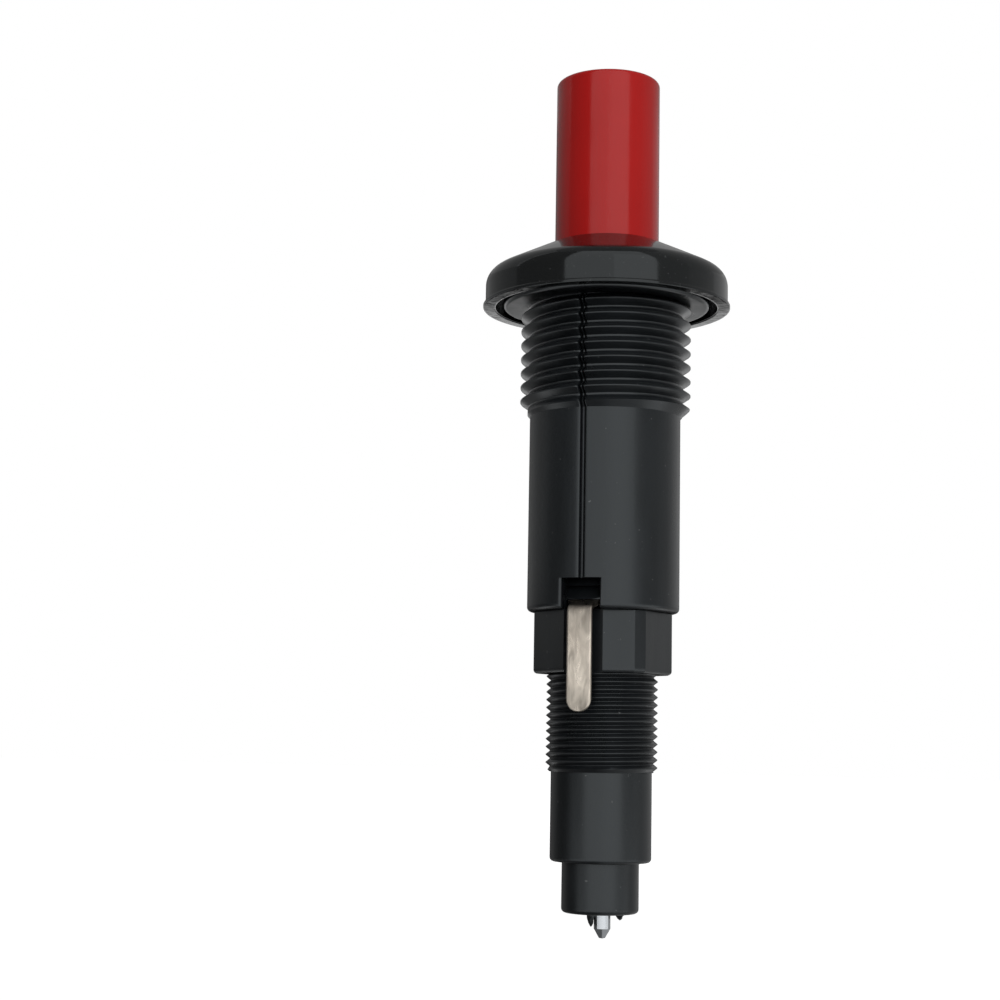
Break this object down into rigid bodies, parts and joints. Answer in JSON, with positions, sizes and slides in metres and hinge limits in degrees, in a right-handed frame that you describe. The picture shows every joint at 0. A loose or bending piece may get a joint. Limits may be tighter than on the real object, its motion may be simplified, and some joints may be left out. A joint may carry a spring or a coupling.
{
  "type": "push-button piezo igniter",
  "caption": "Panel-mounted push-button piezo igniter: red plunger in a domed black bezel, threaded split barrel, side ground tab, threaded insulating tail and spark output pin.",
  "frame": {"origin": "centre of the panel face: the plane of the bezel's foot, on the axis of the panel thread", "axes": "+Z along the igniter's axis out through the button; -Y towards the housing's front seam and the ground tab; +X to the right seen from the tab side"},
  "size_m": [0.0262, 0.026, 0.0901],
  "materials": {
    "red_gloss_plastic": "moulded, glossy",
    "black_gloss_plastic": "moulded, glossy",
    "black_satin_plastic": "moulded, fine satin texture",
    "natural_plastic": "moulded, natural",
    "nickel_plate": "stamped brass, nickel plated",
    "turned_steel": "turned, zinc plated",
    "spring_steel": "drawn wire",
    "piezo_ceramic": "fired and ground ceramic",
    "brass": "stamped"
  },
  "bodies": {
    "housing": {"bezel": "black_gloss_plastic", "housing_half_left": "black_satin_plastic", "housing_half_right": "black_satin_plastic", "tail_housing": "black_satin_plastic", "guide_tube": "natural_plastic", "insulating_sleeve": "natural_plastic", "anvil": "turned_steel", "output_electrode": "turned_steel", "output_pin": "turned_steel", "piezo_ceramic_upper": "piezo_ceramic", "piezo_ceramic_lower": "piezo_ceramic", "contact_disc": "brass", "impact_spring": "spring_steel", "return_spring": "spring_steel", "ground_terminal": "nickel_plate"},
    "plunger": {"button": "red_gloss_plastic"},
    "striker": {"hammer": "turned_steel", "hammer_pin": "turned_steel"}
  },
  "joints": [
    {"name": "button_press", "type": "slide", "parent": "housing", "child": "plunger", "axis": [0, 0, 1], "range_m": [-0.01, 0], "stiffness_N_per_m": 1500, "springref_m": 0.005, "deforming": ["impact_spring", "return_spring"]},
    {"name": "hammer_strike", "type": "slide", "parent": "housing", "child": "striker", "axis": [0, 0, 1], "range_m": [-0.0035, 0], "stiffness_N_per_m": 100, "springref_m": 0.005}
  ]
}
